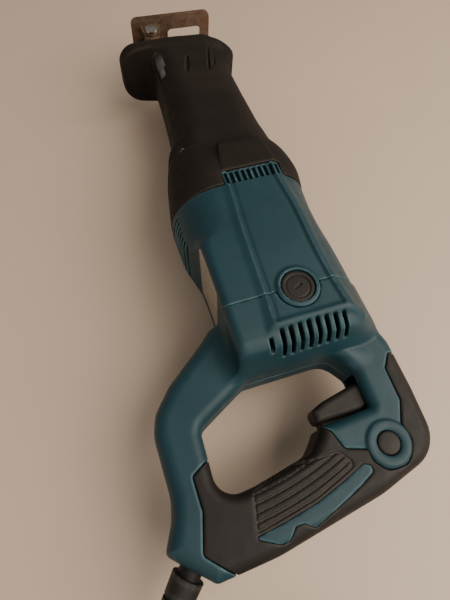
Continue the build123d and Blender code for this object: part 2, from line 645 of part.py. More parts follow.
# ---- trigger, switch and lock button -----------------------------------------------------------------
with BuildPart() as trigger:
    extrude(outline(TRIGGER_SIDE, side(-10)), amount=20)
    fillet(trigger.edges().filter_by(Plane.XY), 2.4)
    add(block((46, 68), (-12, 8), (-6, 6)))
    add(block((45, 50), (-13, 9), (-8, 8)))
finish_part(trigger.part, "trigger")
finish_part(coil_spring(cross(38.2, -2), 3, 0.5, 6.6, 4), "trigger_spring")

with BuildPart() as switch_body:
    add(block((21.5, 38), (-14, 22), (-9.5, 9.5)))
    fillet(switch_body.edges().filter_by(Axis.Z), 2)
finish_part(switch_body.part, "switch_body")

with BuildPart() as lock_button:
    lock_plane = Plane(origin=at(LOCK_S, LOCK_Y, MID + 7), z_dir=(0, 0, 1))
    add(ring(lock_plane, LOCK_R, 0, HANDLE_HALF + 0.8 - 7))
    fillet(lock_button.faces().sort_by(Axis.Z)[-1].edges(), 1.4)
    add(ring(lock_plane, LOCK_R + 1.6, 0, 1.8))
finish_part(lock_button.part, "lock_button")
lock_spring_plane = Plane(origin=at(LOCK_S, LOCK_Y, MID - 5), z_dir=(0, 0, 1))
finish_part(coil_spring(lock_spring_plane, 4, 0.5, 11.8, 5), "lock_spring")

with BuildPart() as noise_filter:
    add(block((15, 34), (28, 50), (-7.5, 7.5)))
    fillet(noise_filter.edges().filter_by(Axis.Y), 4)
finish_part(noise_filter.part, "noise_filter")
with BuildPart() as terminal_block:
    add(block((20, 33), (68, 80), (-6, 6)))
    for h in (-3, 3):
        with BuildSketch(Plane(origin=at(26.5, 67, MID + h), z_dir=(0, 1, 0))):
            Circle(1.6)
        extrude(amount=14, mode=Mode.SUBTRACT)
finish_part(terminal_block.part, "terminal_block")


# ---- cord, guard, coil and plug ------------------------------------------------------------------------
with BuildPart() as cord_guard:
    guard_length = (at(*GUARD_TIP) - at(*GUARD_ROOT)).length
    with BuildSketch(guard_plane.offset(1.9)):
        Circle(GUARD_R)
    with BuildSketch(guard_plane.offset(guard_length)):
        Circle(GUARD_TIP_R)
    loft()
    for groove in range(5):
        along = 14 + 7 * groove
        outer = GUARD_R + (GUARD_TIP_R - GUARD_R) * along / guard_length
        add(ring(guard_plane.offset(along), GUARD_R + 2, outer - 1, 2), mode=Mode.SUBTRACT)
    add(ring(guard_plane.offset(-14), 7, 0, 16))
    add(ring(guard_plane.offset(-14), 8.5, 0, 4))
finish_part(cord_guard.part, "cord_guard")

clamp_origin = at(*GUARD_ROOT) - guard_axis * 24
cord_clamp_plane = Plane(origin=clamp_origin, x_dir=(0, 0, 1), z_dir=guard_axis)
with BuildPart() as cord_clamp:
    with BuildSketch(cord_clamp_plane):
        Rectangle(14, 12)
        Circle(3.8, mode=Mode.SUBTRACT)
    extrude(amount=7)
finish_part(cord_clamp.part, "cord_clamp")


def bend_radii(points):
    """Largest arc at each corner of a route: 0.45 of the shorter run over tan(half turn)."""
    found = []
    for before, here, after in zip(points, points[1:], points[2:]):
        run_in, run_out = here - before, after - here
        half_turn = radians(run_in.get_angle(run_out)) / 2
        found.append(0.45 * min(run_in.length, run_out.length) / tan(half_turn))
    return found


def cord_tube(route, label):
    """Round cord along straight runs joined by tangent arcs."""
    points = [at(*stop) for stop in route]
    radii = bend_radii(points)
    print(label, "bend radii:", ", ".join(f"{radius:.0f}" for radius in radii))
    with BuildPart() as tube:
        with BuildLine() as path:
            FilletPolyline(points, radius=radii)
        with BuildSketch(Plane(origin=path.line @ 0, z_dir=path.line % 0)):
            Circle(CORD_R)
        sweep(path=path.line)
    length = sum(edge.length for edge in path.edges())
    print(f"{label}: {length:.0f} mm, volume ratio {tube.part.volume / (pi * CORD_R**2 * length):.4f}")
    return tube.part, length


main_cord, main_length = cord_tube(CORD_ROUTE, "main cord")
tail_cord, tail_length = cord_tube(TAIL_ROUTE, "cord tail")
group([main_cord, tail_cord], "power_cord")

coil_origin = at(*COIL_CENTRE, 0)
with BuildPart() as cord_coil:
    add(ring(Plane(origin=coil_origin, z_dir=(0, 0, 1)), COIL_MID_R + COIL_BAND / 2,
             COIL_MID_R - COIL_BAND / 2, COIL_BAND))
    fillet(cord_coil.edges(), 3.5)
finish_part(cord_coil.part, "cord_coil")
print(f"cord length {main_length + tail_length + COIL_TURNS * 2 * pi * COIL_MID_R:.0f} mm")

tie_plane = Plane(origin=coil_origin, x_dir=(cos(TIE_ANGLE), sin(TIE_ANGLE), 0), z_dir=(0, 0, 1))
with BuildPart() as cord_tie:
    with BuildSketch(tie_plane):
        with Locations((COIL_MID_R - 0.1, 0)):
            Rectangle(COIL_BAND + 3.4, 11)
    extrude(amount=COIL_BAND + 1.4)
    with BuildSketch(tie_plane):
        with Locations((COIL_MID_R - 0.1, 0)):
            Rectangle(COIL_BAND + 1, 12)
    extrude(amount=COIL_BAND + 0.1, mode=Mode.SUBTRACT)
finish_part(cord_tie.part, "cord_tie")

plug_rear = at(*TAIL_ROUTE[-1])
plug_axis = (at(*TAIL_ROUTE[-1]) - at(*TAIL_ROUTE[-2])).normalized()
plug_axis = Vector(plug_axis.X, plug_axis.Y, 0).normalized()
plug_plane = Plane(origin=plug_rear, x_dir=(-plug_axis.Y, plug_axis.X, 0), z_dir=plug_axis)
with BuildPart() as plug:
    add(ring(plug_plane.offset(0.4), 5.6, 0, 13))
    with BuildSketch(plug_plane.offset(12)):
        RectangleRounded(14, 12, 5)
    with BuildSketch(plug_plane.offset(PLUG_LENGTH - 20)):
        RectangleRounded(2 * PLUG_HALF_WIDTH - 2, 2 * PLUG_HALF_HEIGHT - 1, 8)
    loft()
    with BuildSketch(plug_plane.offset(PLUG_LENGTH - 20)):
        RectangleRounded(2 * PLUG_HALF_WIDTH, 2 * PLUG_HALF_HEIGHT, 8)
    extrude(amount=20)
    with BuildSketch(plug_plane.offset(PLUG_LENGTH - PLUG_PIN_ROOT)):
        with Locations((-PLUG_PIN_SPACING / 2, 0), (PLUG_PIN_SPACING / 2, 0)):
            Circle(PLUG_PIN_ROOT_R + 0.01)
    extrude(amount=PLUG_PIN_ROOT + 2, mode=Mode.SUBTRACT)
finish_part(plug.part, "plug")

with BuildPart() as plug_pins:
    for start, radius, length in (
        (PLUG_LENGTH - PLUG_PIN_ROOT, PLUG_PIN_ROOT_R, PLUG_PIN_ROOT),
        (PLUG_LENGTH, PLUG_PIN_R, PLUG_PIN_LENGTH),
    ):
        with BuildSketch(plug_plane.offset(start)):
            with Locations((-PLUG_PIN_SPACING / 2, 0), (PLUG_PIN_SPACING / 2, 0)):
                Circle(radius)
        extrude(amount=length)
    fillet(plug_pins.faces().filter_by(GeomType.PLANE).group_by(SortBy.DISTANCE)[-1].edges(), 1)
group([plug_pins.part], "plug_pins")
for offset_x in (-PLUG_PIN_SPACING / 2, PLUG_PIN_SPACING / 2):
    place = plug_plane.offset(PLUG_LENGTH + PLUG_PIN_LENGTH / 2).from_local_coords((offset_x, 0, 0))
    print("plug pin at", place, "axis", plug_axis)
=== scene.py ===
"""Looks of the corded reciprocating saw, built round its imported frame.

The moulded casings, grips and boot are drawn as distance fields in the saw's own millimetres and
meshed here: s runs forward from the handle's rear end, y down towards the underside from the motor's
axis, and h out of the left-hand side from the mid-plane.
"""
from itertools import combinations, product
from math import acos, atan2, cos, pi, radians, sin, tan

import bpy
import numpy as np
from mathutils import Matrix, Vector


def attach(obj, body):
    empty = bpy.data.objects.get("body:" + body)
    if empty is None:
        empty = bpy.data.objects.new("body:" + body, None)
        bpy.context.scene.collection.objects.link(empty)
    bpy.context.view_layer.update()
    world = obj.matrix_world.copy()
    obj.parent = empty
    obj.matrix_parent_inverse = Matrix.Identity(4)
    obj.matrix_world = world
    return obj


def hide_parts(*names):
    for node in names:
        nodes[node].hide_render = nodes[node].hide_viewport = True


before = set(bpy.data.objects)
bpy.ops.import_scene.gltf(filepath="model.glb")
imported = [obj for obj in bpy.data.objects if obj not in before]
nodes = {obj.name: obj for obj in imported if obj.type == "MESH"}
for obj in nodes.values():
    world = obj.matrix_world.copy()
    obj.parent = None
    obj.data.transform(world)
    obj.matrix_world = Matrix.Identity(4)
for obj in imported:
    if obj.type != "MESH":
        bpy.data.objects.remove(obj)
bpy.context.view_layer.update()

# ---- the saw's main places, mm --------------------------------------------------------------
BUTT, MID = -200.0, 48.5  # x of the handle's rear end, height of the mid-plane
SEAM_S, BOOT_S, VENT_S = 147.0, 237.0, 248.0
HALF = 18.0  # half thickness of the D-handle
BAND_H = 48.3  # crest beside the flat panel of each side
PANEL_H = 46.9
CAP_R, RING_R = 11.0, 14.5
LOCK_S, LOCK_Y, LOCK_R = 42.0, -25.0, 7.2
SKIN = 4.0  # thickness of the soft grip
WALL = 3.4  # casing wall of the shoulder
MOTOR_BORE, SPIGOT_ROOM = 41.0, 40.4  # radius inside the motor housing, and round its rear spigot
BEARING_S, BEARING_R, TAIL_R = 113.8, 11.2, 5.6  # room for the rear bearing and the shaft's tail
SEAT_R, SEAT_FRONT = 14.5, 121.0  # seat of the rear bearing in the handle halves
SCREWS = [(17, 88), (96, 98), (33, -42), (95, -44), (12, 60), (134, 62)]  # s, y of the handle's screws
SCREW_R, HEAD_R, WELL_R = 2.0, 3.8, 4.3
SCREW_SEAT = 12.0  # depth of the heads' seats below the mid-plane
CORD_R = 0.0039  # metres
GAP = 0.2  # half of each parting line
FINE, MEDIUM = ((0.8, 1.0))  # spacing of the meshes


# ---- distance fields --------------------------------------------------------------------------
def round_max(a, b, r):
    """Both fields at once, with the edge between them rounded by radius r."""
    corner = np.hypot(np.maximum(a + r, 0), np.maximum(b + r, 0))
    return np.minimum(np.maximum(a, b) + r, 0) + corner - r


def blend_min(a, b, r):
    """Either field, with a fillet about r wide where they meet."""
    near = np.maximum(r - np.abs(a - b), 0) / r
    return np.minimum(a, b) - near * near * r / 4


def blend_max(a, b, r):
    """Both fields, with a soft edge about r wide."""
    return -blend_min(-a, -b, r)


def box_field(S, Y, H, low, high, r=0.0):
    """Box between two corners with its edges rounded."""
    q = [np.maximum(lo - A, A - hi) + r for A, lo, hi in zip((S, Y, H), low, high)]
    outside = np.sqrt(sum(np.maximum(a, 0) ** 2 for a in q))
    return np.minimum(np.maximum(np.maximum(q[0], q[1]), q[2]), 0) + outside - r


def rounded(corners):
    """Closed outline through (s, y, radius) corners, as points close together on its arcs."""
    points = []
    for index, (s, y, r) in enumerate(corners):
        here = np.array((s, y), float)
        if r == 0:
            points.append(here)
            continue
        back = np.array(corners[index - 1][:2], float) - here
        ahead = np.array(corners[(index + 1) % len(corners)][:2], float) - here
        back, ahead = back / np.linalg.norm(back), ahead / np.linalg.norm(ahead)
        half = acos(float(np.clip(back @ ahead, -1, 1))) / 2
        centre = here + (back + ahead) / np.linalg.norm(back + ahead) * r / sin(half)
        start = here + back * r / tan(half) - centre
        turn = pi - 2 * half
        side = 1.0 if back[0] * ahead[1] - back[1] * ahead[0] < 0 else -1.0
        first = atan2(start[1], start[0])
        for step in np.linspace(0, 1, max(3, int(turn * 6) + 2)):
            angle = first + side * turn * step
            points.append(centre + r * np.array((cos(angle), sin(angle))))
    return np.array(points)


def outline_field(S, Y, points):
    """Distance in the (s, y) plane from a closed outline, negative inside it."""
    shape = np.broadcast(S, Y).shape
    nearest, inside = np.full(shape, np.inf), np.zeros(shape, bool)
    for (as_, ay), (bs, by) in zip(points, np.roll(points, -1, 0)):
        es, ey = bs - as_, by - ay
        if es == 0 and ey == 0:
            continue
        t = np.clip(((S - as_) * es + (Y - ay) * ey) / (es * es + ey * ey), 0, 1)
        nearest = np.minimum(nearest, (S - as_ - es * t) ** 2 + (Y - ay - ey * t) ** 2)
        if ey != 0:
            inside ^= ((ay > Y) != (by > Y)) & (S < es * (Y - ay) / ey + as_)
    return np.where(inside, -1, 1) * np.sqrt(nearest)


def along(S, stations, column):
    """Smooth value of one column of the stations at each s, with no overshoot between them."""
    x = np.array([row[0] for row in stations], float)
    v = np.array([row[column] for row in stations], float)
    step, rise = np.diff(x), np.diff(v) / np.diff(x)
    slope = np.zeros(len(x))
    slope[0], slope[-1] = rise[0], rise[-1]
    same = rise[:-1] * rise[1:] > 0
    slope[1:-1][same] = 2 * rise[:-1][same] * rise[1:][same] / (rise[:-1] + rise[1:])[same]
    at = np.clip(S, x[0], x[-1])
    i = np.clip(np.searchsorted(x, at, side="right") - 1, 0, len(x) - 2)
    w, t = step[i], (at - x[i]) / step[i]
    return (v[i] * (1 + 2 * t) * (1 - t) ** 2 + v[i + 1] * t * t * (3 - 2 * t)
            + w * slope[i] * t * (1 - t) ** 2 - w * slope[i + 1] * t * t * (1 - t))


def casing(S, Y, H, stations):
    """Rounded box section through (s, y top, y bottom, half width, top and bottom corner radius)."""
    low, high, half, r_top, r_bottom = (along(S, stations, column) for column in range(1, 6))
    flank = np.abs(H) - half
    return np.maximum(round_max(flank, low - Y, r_top), round_max(flank, Y - high, r_bottom))


# ---- meshes from fields -------------------------------------------------------------------------
CORNERS = list(product((0, 1), repeat=3))
EDGES = [(a, b) for a, b in combinations(range(8), 2)
         if sum(i != j for i, j in zip(CORNERS[a], CORNERS[b])) == 1]


def surface_net(values, origin, pitch):
    """Points and quads of the surface where the sampled values cross zero."""
    inside = values < 0
    cells = tuple(n - 1 for n in values.shape)
    count = np.zeros(cells, np.uint8)
    for i, j, k in CORNERS:
        count += inside[i:i + cells[0], j:j + cells[1], k:k + cells[2]]
    active = np.argwhere((count > 0) & (count < 8))
    corner = np.stack([values[tuple((active + c).T)] for c in CORNERS], 1)
    total, hits = np.zeros((len(active), 3)), np.zeros(len(active))
    for a, b in EDGES:
        cut = (corner[:, a] < 0) != (corner[:, b] < 0)
        share = corner[cut, a] / (corner[cut, a] - corner[cut, b])
        total[cut] += np.array(CORNERS[a]) + share[:, None] * np.subtract(CORNERS[b], CORNERS[a])
        hits[cut] += 1
    points = origin + pitch * (active + total / hits[:, None])
    number = np.full(cells, -1)
    number[tuple(active.T)] = np.arange(len(active))
    quads = []
    for axis in range(3):
        lower = np.take(inside, range(cells[axis]), axis)
        upper = np.take(inside, range(1, cells[axis] + 1), axis)
        at = np.argwhere(lower != upper)
        u, v = np.eye(3, dtype=int)[[(axis + 1) % 3, (axis + 2) % 3]]
        ring = [number[tuple((at - a * u - b * v).T)] for a, b in ((0, 0), (1, 0), (1, 1), (0, 1))]
        quad = np.stack(ring, 1)
        outward = lower[tuple(at.T)]
        quads.append(np.where(outward[:, None], quad, quad[:, ::-1]))
    return points, np.concatenate(quads)


def to_metres(points):
    """Saw millimetres to the frame's metres."""
    return (np.asarray(points, float) + (BUTT, 0, MID)) / 1000


def new_object(name, points, faces, body="housing"):
    """Smooth-shaded mesh object riding on a body, from points in the frame's metres."""
    mesh = bpy.data.meshes.new(name)
    mesh.from_pydata(np.asarray(points).tolist(), [], np.asarray(faces).tolist())
    mesh.polygons.foreach_set("use_smooth", np.ones(len(mesh.polygons), bool))
    mesh.update()
    piece = bpy.data.objects.new(name, mesh)
    bpy.context.scene.collection.objects.link(piece)
    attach(piece, body)
    return piece


def moulded(name, field, low, high, pitch, body="housing"):
    """Mesh piece of a field between two corners of the saw frame."""
    axes = [np.arange(lo - 2.3 * pitch, hi + 3 * pitch, pitch) for lo, hi in zip(low, high)]
    S, Y, H = (a.reshape([-1 if i == j else 1 for j in range(3)]) for i, a in enumerate(axes))
    values = np.broadcast_to(field(S, Y, H), [len(a) for a in axes]).astype(np.float32)
    points, quads = surface_net(values, [a[0] for a in axes], pitch)
    return new_object(name, to_metres(points), quads, body)


# ---- outlines of the handle: s, y, corner radius ------------------------------------------------
HANDLE = rounded([
    (147, -48.5, 0), (123, -51, 20), (104, -57.5, 20), (70, -58.5, 60), (29, -57.5, 24),
    (16, -12, 60), (4.5, 60, 80), (2.5, 98, 5), (25, 122, 4), (40, 114.5, 15), (52, 111.5, 30),
    (90, 112.5, 30), (103, 108, 14), (118, 95, 30), (140, 67, 60), (157, 49.2, 0), (157, -46, 0)])
OPENING = rounded([
    (85.5, 83.5, 8), (106, 46, 8), (106, -14, 14), (90, -24.5, 7), (66, -24.5, 2),
    (64, 11, 2), (59, 15, 4), (51, 23, 8), (44, 60, 20), (42, 84.5, 13)])
GRIP = rounded([
    (72, 30, 3), (64, 11, 3), (59, 6.5, 3), (47, 2.5, 4), (43.5, -8, 3), (42, -12, 2), (36, -11, 6),
    (27, -18, 10), (27, -33, 8), (40, -40, 8), (50, -38, 4), (64, -44.5, 6), (86, -44.5, 4),
    (95, -51, 2), (93, -72, 0), (-12, -72, 0), (-12, 84, 0), (3.7, 86, 0), (19, 101, 3),
    (40, 95, 6), (60, 95.5, 3), (66, 85, 2), (72, 60, 0)])
FLASH = rounded([
    (18, 70, 0.8), (20, 52, 20), (24, 30, 30), (30, 10, 30), (35.4, -4.6, 1.5), (33.4, -8.4, 1.5),
    (30, -8.2, 1.5), (26, 0, 6), (22, 10, 10), (12.8, 36, 1), (17, 41.5, 1), (17, 47, 1.5),
    (11.3, 52.5, 1), (11, 58, 1), (17, 69.2, 0.5)])
RIBBED = rounded([(41, 64, 4), (20.5, 69, 1), (27, 30, 20), (37, 0, 3), (46.5, 7, 4), (47.5, 40, 20)])
TRIGGER = rounded([
    (66.5, 10.5, 3), (75.5, 11.5, 4), (79, 2, 10), (84.3, -23.5, 6), (84, -37.5, 3), (70, -37.5, 2),
    (66, -20, 8)])
MOTOR = [
    (SEAM_S, -49, 48.6, 46.4, 38, 6), (175, -47.5, 48.8, 46.4, 38, 6), (196, -45.5, 50, 46.4, 38, 9),
    (203, -45, 54, 46.4, 38, 22), (214, -44.8, 59, 46.4, 38, 33), (BOOT_S, -46, 60.5, 46.4, 38, 38)]
SHOULDER = [
    (105, -30, 50, 17, 8, 8), (109, -40, 49, 29, 14, 8), (114.5, -46, 48.6, 41.5, 27, 7),
    (122, -49, 48.6, 45, 34, 6), (SEAM_S, -49, 48.6, 46.4, 38, 6)]
BOOT = [
    (BOOT_S, -46.5, 60, 47.2, 38, 38), (250, -47.8, 59, 47.3, 36, 36), (260, -47, 57.5, 46.5, 35, 35),
    (268, -45.3, 56, 45, 33, 33), (274, -43, 54.3, 43.2, 30, 30), (284, -38.2, 51.3, 41, 27, 27),
    (297, -36.8, 47.2, 39.3, 26, 25), (308, -35.9, 40, 38, 26, 24), (325, -34.8, 38.3, 37, 25, 23),
    (350, -33.5, 35.8, 35, 23, 22), (388, -32.8, 34, 32, 21, 21), (418, -32.5, 33.5, 31.5, 20, 20)]
CRESTS = [(112, -30, 26.5), (130, -27.5, 25.3), (147, -25.2, 24), (172, -23.5, 23), (203, -23, 21.7),
          (232, -20.5, 19.5), (250, -19.5, 19)]  # s, and the y of each crest beside the panel
GUTTER, GUTTER_DEEP = 5.0, 0.7  # width of the groove inside each crest, and its depth below the panel
UNDERSIDE_LEAN = 0.045  # the flank beside the underside leans in towards the right-hand half


def band(S, Y, H):
    """Flat panel of each side between its two crests, with the slopes outside them."""
    top, bottom = along(S, CRESTS, 1), along(S, CRESTS, 2)
    rise = np.abs(H) - BAND_H
    outside = np.maximum(top - Y, Y - bottom)
    body = blend_max(rise, outside * sin(radians(48)) + rise * cos(radians(48)), 3.5)
    return np.maximum(body, 37 - np.abs(H))


def panel_hollow(S, Y, H):
    """Recess of the panel and the gutter inside each crest, negative within them."""
    top, bottom = along(S, CRESTS, 1), along(S, CRESTS, 2)
    inner = np.maximum(top + 1.6 - Y, Y - bottom + 1.6)
    slope = inner + (BAND_H - np.abs(H)) * 1.1
    in_gutter = np.clip(-inner / GUTTER, 0, 1)
    floor_h = PANEL_H - GUTTER_DEEP * np.sin(pi * in_gutter) ** 2
    return blend_max(floor_h - np.abs(H), slope, 0.9)


def flank(S, Y, H, stations):
    """Casing whose flank beside the underside leans."""
    return casing(S, np.where(Y > 0, Y - UNDERSIDE_LEAN * H * np.clip(Y / 30, 0, 1), Y), H, stations)


def handle_body(S, Y, H):
    """Outer form of the D-handle and the shoulder that it grows out of."""
    slab = round_max(outline_field(S, Y, HANDLE), np.abs(H) - HALF, 10)
    shoulder = flank(S, Y, H, SHOULDER)
    ridge = blend_max(band(S, Y, H), 122 - S + (np.abs(H) - 45) * 0.8, 3)
    shoulder = blend_min(shoulder, ridge, 2)
    shoulder = blend_max(shoulder, -blend_max(panel_hollow(S, Y, H), 127 - S, 4), 1)
    shoulder = blend_max(shoulder, 104.5 - S, 4)
    body = blend_min(slab, shoulder, 14)
    return round_max(body, -outline_field(S, Y, OPENING), 7)


SLOTS = [(-22 + 6.05 * row, 124.5 - 0.25 * abs(row - 3.2), 30.5 - 0.2 * row) for row in range(8)]
SLOTS.append((28.3, 120, 36))  # y, front end, lowest height


def screw_wells(S, Y, H):
    """Wells for the screw heads in the right half, drawn on the left, negative within them."""
    wells = [np.maximum(np.hypot(S - s, Y - y) - WELL_R, SCREW_SEAT - H) for s, y in SCREWS]
    return np.minimum.reduce(wells)


def handle_field(S, Y, H, lock):
    """Hard shell of one handle half, drawn on the left; lock adds the hole of the lock button."""
    body = handle_body(S, Y, H)
    outer, opening = outline_field(S, Y, HANDLE), outline_field(S, Y, OPENING)
    grip = outline_field(S, Y, GRIP)
    flash = outline_field(S, Y, FLASH)
    # The shell lies one skin lower under the grip, except at the flash that shows through it.
    skin = np.maximum(grip - 0.3, 0.3 - flash)
    shell = np.maximum(body, -np.maximum(skin, -(body + SKIN + 0.2)))
    shell = np.maximum(shell, -np.maximum(np.abs(grip) - 0.45, -(body + 1.2)))
    from_lock = np.hypot(S - LOCK_S, Y - LOCK_Y)
    if lock:
        boss = round_max(from_lock - 14, H - 19.4, 1.4)
        dish = np.maximum(from_lock - 11.4, 18.6 - H + 0.5 * (from_lock - 8))
        boss = blend_max(boss, -dish, 0.8)
        shell = blend_min(shell, np.maximum(boss, 8 - H), 1.6)
    # Hollow of the handle, shallower over the screws' seats, and of the shoulder with its steep rear wall.
    inner = np.maximum(np.maximum(outer + 7.5, 7.5 - opening), H - 11.5 + (0 if lock else 2.5))
    core = casing(S, Y, H, SHOULDER) + WALL + 0.32 * np.clip(126 - S, 0, 20)
    core = np.maximum(core, 107 - S)
    r = np.hypot(Y, H)
    bore = np.maximum(r - SPIGOT_ROOM, 124 - S)
    bearing_room = np.minimum(np.maximum(r - BEARING_R, BEARING_S - S), np.maximum(r - TAIL_R, 109 - S))
    seat = np.maximum(np.maximum(r - SEAT_R, S - SEAT_FRONT), -bearing_room)
    hollow = np.maximum(np.minimum(np.minimum(inner, core), bore), -seat)
    shell = np.maximum(shell, -hollow)
    # Room for the trigger, the brush cap's ring and the lock button.
    shell = np.maximum(shell, -box_field(S, Y, H, (48, -39.5, -1), (90, 12.6, 10.5)))
    shell = np.maximum(shell, -np.maximum(np.hypot(S - SEAM_S, Y) - RING_R - 0.35, 20 - H))
    if lock:
        shell = np.maximum(shell, LOCK_R + 0.45 - from_lock)
    # Cooling slots down the shoulder, the last one apart beyond the crest.
    for y, front, lowest in SLOTS:
        slot = round_max(np.abs(Y - y) - 1.5, np.maximum(S - front, 100 - S), 1.2)
        shell = np.maximum(shell, -round_max(slot, lowest - H, 1))
    if not lock:
        shell = round_max(shell, -screw_wells(S, Y, H), 0.4)
    shell = round_max(shell, S - SEAM_S + GAP, 0.45)
    return np.maximum(shell, GAP * 0.6 - H)


def grip_field(S, Y, H):
    """Soft skin over the rear grip, with its ribbed panel and the gap round the flash."""
    body = handle_body(S, Y, H)
    skin = np.maximum(body, -(body + SKIN))
    grip = outline_field(S, Y, GRIP)
    skin = round_max(skin, grip + 0.15, 0.8)
    flash = outline_field(S, Y, FLASH)
    skin = round_max(skin, 0.35 - flash, 0.8)
    # Ribs: shallow grooves that follow the grip, inside a framed panel.
    panel = outline_field(S, Y, RIBBED)
    across = S - 20.5 - 0.062 * (69 - Y) - 0.0024 * (69 - Y) ** 2
    groove = np.abs((across + 2.2) % 4.6 - 2.3) - 0.45
    frame_line = np.abs(panel) - 0.45
    cut = np.minimum(np.maximum(groove, panel), frame_line)
    depth = np.maximum(-(body + 0.9), -H + 6)
    skin = np.maximum(skin, -np.maximum(cut, depth))
    return np.maximum(skin, GAP * 0.6 - H)


def front_limit(S, Y, H):
    """Negative behind the joint line between the motor housing and the boot."""
    notch = np.maximum(np.abs(Y + 2.3) - 22.6, 38 - np.abs(H))
    return np.minimum(S - BOOT_S, np.maximum(S - VENT_S, notch))


def motor_field(S, Y, H):
    """Motor housing with its two panels, brush cap rings and front vents."""
    body = blend_min(flank(S, Y, H, MOTOR), band(S, Y, H), 2.5)
    body = blend_max(body, -panel_hollow(S, Y, H), 0.8)
    limit = front_limit(S, Y, H)
    body = round_max(body, limit + GAP, 0.5)
    body = round_max(body, SEAM_S + GAP - S, 0.45)
    from_cap = np.hypot(S - SEAM_S, Y)
    ring = round_max(from_cap - RING_R, np.abs(H) - BAND_H - 0.1, 1.7)
    body = np.minimum(body, np.maximum(ring, 30 - np.abs(H)))
    body = np.maximum(body, -np.maximum(from_cap - CAP_R - 0.5, 36 - np.abs(H)))
    body = np.maximum(body, -(np.hypot(Y, H) - MOTOR_BORE))
    # Front vents under the boot's edge, and the fine mesh of the underside bulge.
    for slot_index in range(10):
        y = (slot_index - 4.9) * 4.3
        slot = np.maximum(np.abs(Y - y) - 1.25, np.maximum(236.6 - S, S - 246.6))
        body = np.maximum(body, -np.maximum(slot, 43.5 - np.abs(H)))
    for slot_index in range(7):
        s = 207 + slot_index * 4.2
        slot = np.maximum(np.abs(S + 0.35 * (Y - 58) - s) - 0.9, np.maximum(50 - Y, np.abs(H) - 26))
        body = np.maximum(body, -np.maximum(slot, -(body + 2.2)))
    return body


def boot_field(S, Y, H):
    """Rubber boot: collar, raised pad, faceted neck and the front flange."""
    body = casing(S, Y, H, BOOT)
    body = np.maximum(body, np.maximum(BOOT_S + GAP - S, S - 417))
    facet = (np.abs(H) * 0.75 + np.abs(Y - 0.5) * 0.66) - along(S, [(290, 49), (330, 45), (400, 40)], 1)
    body = blend_max(body, np.where(S > 285, facet, -5.0), 2.5)
    width = along(S, [(237, 21.5), (262, 19), (277, 15), (284, 13)], 1)
    pad = blend_max(np.abs(Y + 2) - width, np.abs(H) - 48.1 + np.maximum(S - 272, 0) * 0.75, 1.6)
    body = blend_min(body, np.maximum(pad, np.maximum(S - 284, 36 - np.abs(H))), 1.5)
    lean = S + 0.21 * (-Y)
    disc = round_max(np.abs(H) - 31 + 0.0045 * np.maximum(Y - 20, 0) ** 2, np.maximum(-37 - Y, Y - 60.5), 14)
    flange = round_max(disc, np.maximum(lean - 416.5, 408 - lean - 0.12 * np.maximum(Y - 20, 0)), 2.6)
    hump = np.hypot(S - 399, (Y + 30) * 0.9) - 9.5
    hump = round_max(hump, np.abs(H) - 25, 5)
    flange = blend_min(flange, hump, 8)
    body = blend_min(body, flange, 7)
    limit = front_limit(S, Y, H)
    body = round_max(body, GAP - limit, 0.8)
    inner = casing(S, Y, H, BOOT) + 3.6
    mouth = round_max(np.abs(H) - 27.5, np.maximum(-29 - Y, Y - 32), 10)
    body = np.maximum(body, -inner)
    body = np.maximum(body, -np.maximum(mouth, 380 - S))
    # Moulding marks on the left face of the neck.
    mark = np.hypot((S - 382) / 11, (Y - 7 + 0.25 * (S - 382)) / 1.6) - 1
    body = np.maximum(body, -np.maximum(mark * 1.2, 30.2 - H))
    for offset in (0, 5):
        line = np.abs(Y + 13 + offset + 0.25 * (S - 385)) - 0.7
        line = np.maximum(line, np.maximum(370 + offset - S, S - 400))
        body = np.maximum(body, -np.maximum(line, 29.8 - H))
    button = np.hypot(S - 345, Y - 22) - 7.1
    return np.maximum(body, -np.maximum(button, H + 20))


def cap_field(S, Y, H):
    """Brush cap: chamfered rim, ring groove, sunken middle and screwdriver slot."""
    r = np.hypot(S - SEAM_S, Y)
    cap = round_max(r - CAP_R, np.maximum(H - 47.3, 43 - H), 0.8)
    cap = np.maximum(cap, -np.maximum(np.abs(r - 7.9) - 0.5, 46.5 - H))
    cap = np.maximum(cap, -round_max(r - 7.4, 46.85 - H, 0.2))
    turned = 0.35
    u, v = (S - SEAM_S) * cos(turned) + Y * sin(turned), Y * cos(turned) - (S - SEAM_S) * sin(turned)
    return np.maximum(cap, -np.maximum(np.maximum(np.abs(v) - 3.2, np.abs(u) - 0.75), 45.6 - H))


def lock_field(S, Y, H):
    """Domed lock button."""
    r = np.hypot(S - LOCK_S, Y - LOCK_Y)
    dome = H - 19.6 + r * r * 0.016
    body = round_max(np.maximum(r - LOCK_R, 7.2 - H), dome, 1.0)
    return np.minimum(body, np.maximum(r - LOCK_R - 1.5, np.maximum(7.2 - H, H - 8.8)))


def trigger_field(S, Y, H):
    """Trigger: broad rounded blade and the stem that runs back into the handle."""
    blade = round_max(outline_field(S, Y, TRIGGER), np.abs(H) - 10, 4.0)
    stem = box_field(S, Y, H, (46, -12, -6), (70, 8, 6), 0.8)
    foot = box_field(S, Y, H, (45, -13, -8), (50, 9, 8), 0.8)
    return np.minimum(np.minimum(blade, stem), foot)


# ---- materials -------------------------------------------------------------------------------------
def ramp(tree, source, stops):
    """Colour ramp fed by a socket."""
    node = tree.nodes.new("ShaderNodeValToRGB")
    elements = node.color_ramp.elements
    while len(elements) < len(stops):
        elements.new(0.5)
    for element, (place, colour) in zip(elements, stops):
        element.position = place
        element.color = (*colour, 1) if len(colour) == 3 else colour
    tree.links.new(source, node.inputs[0])
    return node.outputs["Color"]


